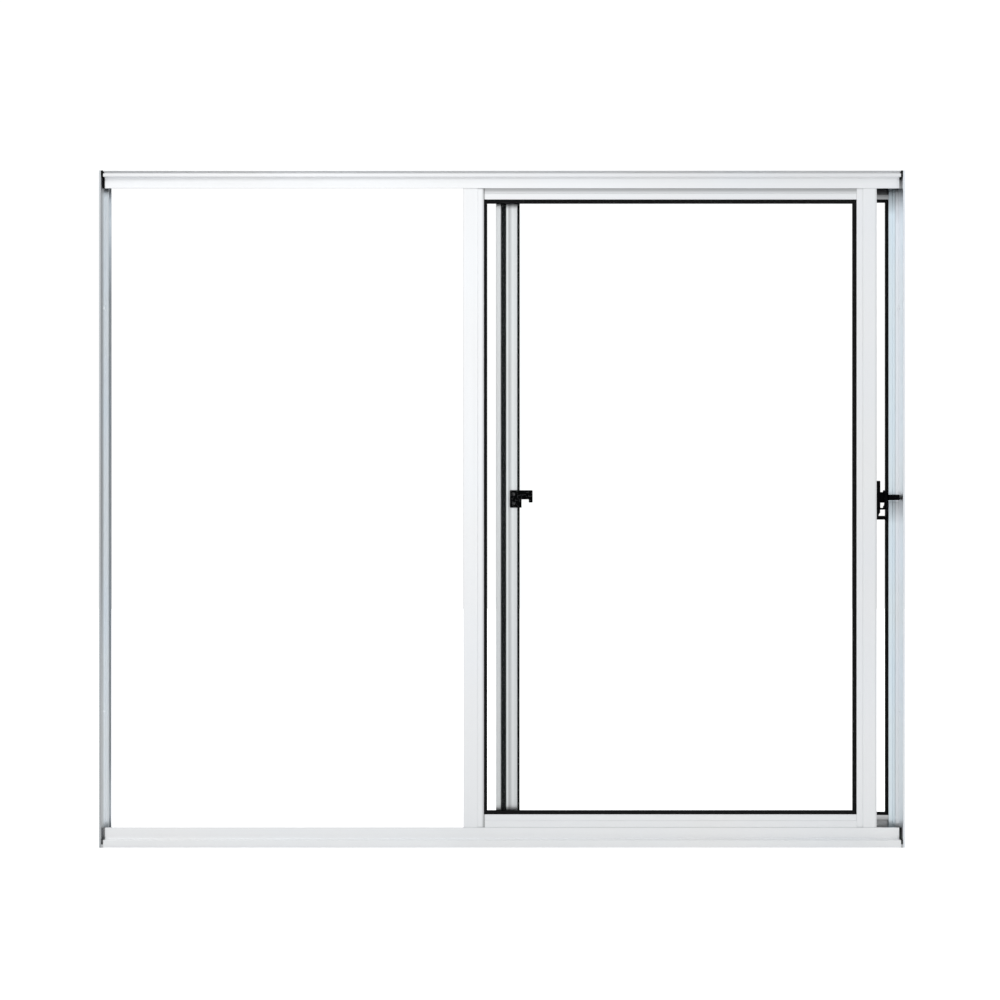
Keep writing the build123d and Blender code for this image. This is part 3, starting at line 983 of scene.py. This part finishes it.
@dataclass
class RunningGear(SubAssembly):
    """Rollers, guides, setting blocks and the brush seal."""

    nylon: MouldedNylon
    steel: PlatedSteel
    pile: WovenPile

    def dress(self) -> list[bpy.types.Object]:
        """Finish the running gear.

        Returns:
            Its pieces.
        """
        return self.finish_nodes(
            {
                "roller_wheels": self.nylon,
                "roller_housings": self.nylon,
                "roller_axles": self.steel,
                "top_guides": self.nylon,
                "fixed_setting_blocks": self.nylon,
                "meeting_pile": self.pile,
            }
        )


@dataclass
class CrescentLatch(SubAssembly):
    """Latch on the sliding leaf and keeper on the fixed one, with their screws."""

    casting: BlackPowderCoat
    steel: PlatedSteel
    screw_inset: float = 6.0 * MM
    foot: float = 5.7 * MM
    plate_thickness: float = 5.7 * MM
    keeper_screw_spacing: float = 14.0 * MM
    screw: PanScrew = PanScrew(
        head_radius=2.5 * MM, head_height=0.9 * MM, shank_radius=1.3 * MM, length=8.0 * MM
    )

    def latch_seats(self) -> list[Seat]:
        """Find where the two screws sit on the latch's plate.

        Returns:
            Their seats.
        """
        low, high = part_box("latch_body")
        depth = (low.y + high.y) / 2
        face = low.x + self.plate_thickness
        heights = (low.z + self.foot + self.screw_inset, high.z - self.screw_inset)
        return [(Vector((face, depth, level)), Way.LEFT) for level in heights]

    def keeper_seats(self) -> list[Seat]:
        """Find where the two screws sit on the keeper's face.

        Returns:
            Their seats.
        """
        low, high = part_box("keeper")
        stile_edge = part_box("fixed_meeting_stile")[1].x
        across = (low.x + stile_edge) / 2
        middle = (low.z + high.z) / 2
        half = self.keeper_screw_spacing / 2
        return [(Vector((across, low.y, level)), Way.BACK) for level in (middle - half, middle + half)]

    def dress(self) -> list[bpy.types.Object]:
        """Finish the castings and add their screws.

        Returns:
            The latch's and the keeper's pieces.
        """
        castings = ("latch_body", "latch_cam", "latch_lever", "keeper")
        nodes = self.finish_nodes({name: self.casting for name in castings})
        latch_screws = screw_set("latch_screws", self.screw, self.latch_seats(), self.steel)
        keeper_screws = screw_set("keeper_screws", self.screw, self.keeper_seats(), self.steel)
        return [*nodes, latch_screws, keeper_screws]


# Studio


@dataclass(frozen=True)
class Softbox:
    """Square lamp of the studio, with its size in metres and its power in watts."""

    name: str
    place: Triple
    size: float
    power: float

    def hang(self, target: Vector) -> None:
        """Hang the lamp and turn it to a point.

        Args:
            target: The point.
        """
        lamp = bpy.data.lights.new(self.name, "AREA")
        lamp.shape = "SQUARE"
        lamp.size = self.size
        lamp.energy = self.power
        holder = linked(bpy.data.objects.new(self.name, lamp))
        holder.location = self.place
        holder.rotation_euler = (target - Vector(self.place)).to_track_quat("-Z", "Y").to_euler()


@dataclass
class Studio:
    """Pale floor, soft lamps, white surroundings and the camera."""

    floor_half_width: float = 6.0
    floor_half_thickness: float = 5.0 * MM
    floor_gap: float = 0.2 * MM
    floor_colour: Colour = (0.93, 0.93, 0.93)
    floor_seen: float = 0.9
    floor_mirrored: float = 0.15
    camera_x: float = -0.003
    camera_distance: float = 2.7665
    camera_height: float = 0.5135
    field_of_view: float = math.radians(30.15)
    sensor_width: float = 36.0
    nearest_seen: float = 0.01
    white_level: float = 1.04
    ambient: float = 0.56
    slope: float = 0.1
    front_light_way: Triple = (-0.12, -1.0, 0.1)
    front_light_level: float = 0.9
    dark_corner_way: Triple = (0.3, 1.0, 0.0)
    dark_corner_level: float = 0.32
    focus: float = 16.0
    left_tint: Colour = (1.0, 1.0, 1.0)
    right_tint: Colour = (0.955, 0.98, 1.0)
    tint_spread: float = 2.0
    lamps: tuple[Softbox, ...] = (
        Softbox("key", (-1.8, -2.6, 2.6), 1.8, 11.0),
        Softbox("fill", (2.4, -2.2, 1.6), 1.6, 12.0),
        Softbox("rim", (0.6, 2.4, 2.2), 1.6, 8.0),
    )

    def build(self) -> None:
        """Set up the floor, the surroundings, the lamps and the camera."""
        self.add_floor()
        self.add_world()
        low, high = (Vector(corner) for corner in cad_bounds)
        for lamp in self.lamps:
            lamp.hang((low + high) / 2)
        self.add_camera()
        bpy.context.scene.view_settings.view_transform = "Standard"

    def add_floor(self) -> None:
        """Lay a pale floor that looks white and keeps a soft shadow."""
        half_size = Vector((self.floor_half_width, self.floor_half_width, self.floor_half_thickness))
        floor = box_object("floor", half_size)
        floor.location.z = -self.floor_half_thickness - self.floor_gap
        material = bpy.data.materials.new("studio_floor")
        material.use_nodes = True
        graph = Graph(material.node_tree)
        lit = graph.node("ShaderNodeBsdfDiffuse", inputs={"Color": rgba(self.floor_colour)}).outputs[0]
        mirrored = graph.value(graph.node("ShaderNodeLightPath").outputs["Is Glossy Ray"])
        strength = graph.seen() * self.floor_seen + mirrored * self.floor_mirrored
        white = graph.node("ShaderNodeEmission", inputs={"Strength": strength}).outputs[0]
        surface = graph.node("ShaderNodeAddShader", inputs={0: lit, 1: white}).outputs[0]
        graph.node("ShaderNodeOutputMaterial", inputs={"Surface": surface})
        floor.data.materials.append(material)

    def add_world(self) -> None:
        """Show white all round, light the window softly from the front, and keep the back right dark."""
        world = bpy.data.worlds.new("studio")
        bpy.context.scene.world = world
        world.use_nodes = True
        graph = Graph(world.node_tree)
        way = graph.node("ShaderNodeTexCoord").outputs["Generated"]
        parts = graph.node("ShaderNodeSeparateXYZ", inputs={0: way}).outputs
        right, back, up = (graph.value(parts[axis]) for axis in range(3))
        aims = (Vector(aim).normalized() for aim in (self.front_light_way, self.dark_corner_way))
        front_light, dark_corner = (
            (right * aim.x + back * aim.y + up * aim.z) ** self.focus for aim in aims
        )
        level = self.ambient + self.slope * back + self.slope * up
        level = level + self.front_light_level * front_light - self.dark_corner_level * dark_corner
        tint = graph.mix(right * self.tint_spread + MIDDLE, self.left_tint, self.right_tint)
        studio = graph.node("ShaderNodeBackground", inputs={"Color": tint, "Strength": level}).outputs[0]
        white = graph.node(
            "ShaderNodeBackground", inputs={"Color": rgba((1, 1, 1)), "Strength": self.white_level}
        ).outputs[0]
        mixed = graph.node("ShaderNodeMixShader", inputs={0: graph.seen(), 1: studio, 2: white}).outputs[0]
        graph.node("ShaderNodeOutputWorld", inputs={"Surface": mixed})

    def add_camera(self) -> None:
        """Put the camera level and square in front of the window."""
        lens = bpy.data.cameras.new("camera")
        lens.sensor_width = self.sensor_width
        lens.lens = self.sensor_width / (2 * math.tan(self.field_of_view / 2))
        lens.clip_start = self.nearest_seen
        camera = linked(bpy.data.objects.new("camera", lens))
        camera.location = (self.camera_x, -self.camera_distance, self.camera_height)
        camera.rotation_euler = (math.pi / 2, 0, 0)
        bpy.context.scene.camera = camera


# The window's parts, with the light and shade painted on each profile

# Height of the shadow painted behind the latch's lever, and the light left in it
LEVER_SHADOW: Stops = ((478, 1.0), (511, 0.55), (512, 1.0))


def corner_pad(name: str, painted_light: Gradient | None = None) -> BlackRubber:
    """Soft rubber of a corner pad, duller and coarser than the gaskets."""
    return BlackRubber(name, painted_light=painted_light, roughness=0.75, pore_scale=500.0)


def pad_with_painted_light(name: str, stops: Stops) -> BlackRubber:
    """Corner pad with painted light, pale at some heights of its front."""
    return corner_pad(name, Gradient(Axis.Z, stops, (Zone.FRAME_FRONT,), outside=0.0))


def outer_frame(steel: PlatedSteel) -> OuterFrame:
    """Describe the frame's finishes.

    Args:
        steel: What its screws are made of.

    Returns:
        The frame.
    """
    # Painted shade: the head's lip and the face below it are darker towards the left end
    head_lip_shade = Gradient(Axis.X, ((-588.8, 0.8), (-300, 0.96), (588.8, 0.93)), (Zone.HEAD_LIP,))
    head_ledge_shade = Gradient(Axis.X, ((-588.8, 0.88), (-200, 1.0)), (Zone.HEAD_LEDGE,))
    # Painted shade on the left jamb: a darker front edge, a web in the shade of its lip, the middle fin in
    # the shade of the head, and the rear fin darker along most of its height
    left_lip = Gradient(Axis.Y, ((-26.5, 0.55), (-26.3, 1.0)))
    left_web = Gradient(Axis.Y, ((-26.5, 0.48), (-14.0, 0.56), (-3.0, 1.0), (4.4, 1.0)), (Zone.LEFT_WEB,))
    left_top = Gradient(
        Axis.Z, ((966, 1.0), (971, 0.8), (976, 0.35)), (Zone.MIDDLE_FIN, Zone.INSIDE_LEFT_JAMB)
    )
    left_rear = Gradient(
        Axis.Z,
        ((40, 0.85), (120, 0.5), (820, 0.5), (930, 1.0)),
        (Zone.REAR_FIN, Zone.INSIDE_LEFT_JAMB),
    )
    # Painted shade and shadow: the right jamb's fin darkens under the head and behind the latch's lever
    right_fin = (Zone.MIDDLE_FIN, Zone.INSIDE_RIGHT_JAMB)
    right_top = Gradient(Axis.Z, ((925, 1.0), (949, 0.8), (970, 0.34), (976, 0.42)), right_fin)
    lever_shadow = Gradient(Axis.Z, LEVER_SHADOW, right_fin)
    return OuterFrame(
        # Painted light and shade: the sill and the jambs get paler, darker and bluer copies of the anodising
        # for the light that falls on each
        finishes={
            "head": AnodisedAluminium(
                "head_anodising", Grain.ALONG_X, (head_lip_shade, head_ledge_shade), corner_gain=0.1
            ),
            "sill": AnodisedAluminium(
                "sill_anodising",
                Grain.ALONG_X,
                cool=(0.915, 0.93, 0.945),
                plain=(0.935, 0.935, 0.935),
                corner_gain=0.0,
            ),
            "left_jamb": AnodisedAluminium(
                "left_jamb_anodising",
                Grain.ALONG_Z,
                (left_lip, left_web, left_top, left_rear),
                cool=(0.89, 0.95, 1.0),
                plain=(0.95, 0.97, 0.98),
                corner_gain=0.3,
            ),
            "right_jamb": AnodisedAluminium(
                "right_jamb_anodising",
                Grain.ALONG_Z,
                (right_top, lever_shadow),
                cool=(0.87, 0.91, 0.96),
                plain=(0.9, 0.92, 0.93),
                corner_gain=0.3,
            ),
            "head_left_seal": corner_pad("head_left_pad"),
            # Painted light: these pads are pale at some heights of their fronts
            "head_right_seal": pad_with_painted_light(
                "head_right_pad", ((975.5, 0.62), (987.5, 0.22), (989, 0.04), (1000, 0.01))
            ),
            "sill_left_seal": pad_with_painted_light(
                "sill_left_pad", ((0, 0.85), (4.2, 0.85), (6, 0.08), (19, 0.4), (27.9, 0.42))
            ),
            "sill_right_seal": pad_with_painted_light(
                "sill_right_pad", ((0, 0.75), (4.5, 0.75), (6, 0.08), (27.9, 0.01))
            ),
        },
        steel=steel,
    )


def sliding_leaf(gasket: BlackRubber, glass: FloatGlass, steel: PlatedSteel) -> Leaf:
    """Describe the sliding leaf, whose top rail has painted shade where it runs up into the head.

    Args:
        gasket: Finish of its gasket.
        glass: Finish of its pane.
        steel: What its screws are made of.

    Returns:
        The leaf.
    """
    front = (Zone.SLIDING_LEAF_FRONT,)
    # Painted shadow on the top rail's front, under the head
    shade_under_head = Gradient(Axis.Z, ((959, 1.0), (968, 0.95), (973, 0.48), (976, 0.48)), front)
    # Painted shade where rounded edges turn away from the light, at the rails' left ends and along the
    # stiles' edges
    rail_end = Gradient(Axis.X, ((-26.9, 0.45), (-26.0, 0.5), (-25.0, 1.0)), front)
    stile_edge = Gradient(Axis.X, ((-30.6, 1.0), (-28.6, 0.8), (-27.0, 0.6)), front)
    far_edge = Gradient(Axis.X, ((552.5, 1.0), (554.2, 0.86), (556.0, 0.86)), front)
    up, along = Grain.ALONG_Z, Grain.ALONG_X
    return Leaf(
        label="sliding",
        stiles={
            "pull_stile": AnodisedAluminium("pull_stile_anodising", up, (stile_edge,), corner_gain=0.6),
            "meeting_stile": AnodisedAluminium("latch_stile_anodising", up, (far_edge,), corner_gain=0.6),
        },
        top_rail=AnodisedAluminium("sliding_top_rail_anodising", along, (shade_under_head, rail_end)),
        bottom_rail=AnodisedAluminium(
            "sliding_bottom_rail_anodising", along, (rail_end,), corner_gain=0.3
        ),
        gasket=gasket,
        glass=glass,
        steel=steel,
        glazing_leg=9.2 * MM,
        port_depth=7.8 * MM,
    )


def fixed_leaf(gasket: BlackRubber, glass: FloatGlass, steel: PlatedSteel) -> Leaf:
    """Describe the fixed leaf, which stands in the shade of the head, the sill and the sliding leaf, painted
    into its colour.

    Args:
        gasket: Finish of its gasket.
        glass: Finish of its pane.
        steel: What its screws are made of.

    Returns:
        The leaf.
    """
    front = (Zone.FIXED_LEAF_FRONT,)
    # Painted shade and reflection across the meeting stile's front: darker where the sliding leaf shades it,
    # with light and dark bands of reflection
    shade_and_reflection_behind_leaf = Gradient(
        Axis.X,
        ((-9.0, 0.9), (5.0, 0.9), (6.0, 0.6), (8.2, 0.88), (11.0, 0.56), (16.0, 0.88), (22.9, 0.7)),
        front,
    )
    # Painted shade under the head and on the rails' fronts in the head and the sill, and a painted shadow
    # behind the latch's lever
    shade_under_head = Gradient(Axis.Z, ((940, 1.0), (955, 0.68), (970, 0.41), (976, 0.55)), front)
    lever_shadow = Gradient(Axis.Z, LEVER_SHADOW, front)
    top_shade = Gradient(Axis.Z, ((963, 0.44), (969, 0.27), (972, 0.12), (976.4, 0.06)), front)
    bottom_shade = Gradient(Axis.Z, ((25, 1.0), (29, 0.85), (33.5, 0.4), (41.6, 0.7)), front)
    up, along = Grain.ALONG_Z, Grain.ALONG_X
    return Leaf(
        label="fixed",
        stiles={
            "meeting_stile": AnodisedAluminium("rear_stile_anodising", up, (shade_and_reflection_behind_leaf,)),
            # Painted shade: a darker, bluer copy of the anodising
            "jamb_stile": AnodisedAluminium(
                "jamb_stile_anodising",
                up,
                (shade_under_head, lever_shadow),
                cool=(0.8, 0.91, 0.98),
                plain=(0.85, 0.92, 0.95),
                corner_gain=0.4,
            ),
        },
        top_rail=AnodisedAluminium("fixed_top_rail_anodising", along, (top_shade,)),
        bottom_rail=AnodisedAluminium(
            "fixed_bottom_rail_anodising", along, (bottom_shade,), corner_gain=0.4
        ),
        gasket=gasket,
        glass=glass,
        steel=steel,
        glazing_leg=6.0 * MM,
        port_depth=8.0 * MM,
    )


def main() -> None:
    """Dress the window, build the studio and report each piece."""
    logging.basicConfig(level=logging.INFO, format="%(name)s: %(message)s")
    gasket = BlackRubber("black_glazing_gasket")
    glass = FloatGlass("clear_float_glass")
    steel = PlatedSteel("zinc_plated_steel")
    black_steel = PlatedSteel("blackened_steel", colour=(0.06, 0.06, 0.062), roughness=0.4)
    assemblies: list[SubAssembly] = [
        outer_frame(steel),
        sliding_leaf(gasket, glass, steel),
        fixed_leaf(gasket, glass, steel),
        RunningGear(MouldedNylon("dark_moulded_nylon"), steel, WovenPile("black_woven_pile")),
        CrescentLatch(BlackPowderCoat("black_powder_coat"), black_steel),
    ]
    for assembly in assemblies:
        for piece in assembly.dress():
            log.info("%s: %s, %d faces", type(assembly).__name__, piece.name, len(piece.data.polygons))
    Studio().build()


if __name__ == "__main__":
    main()
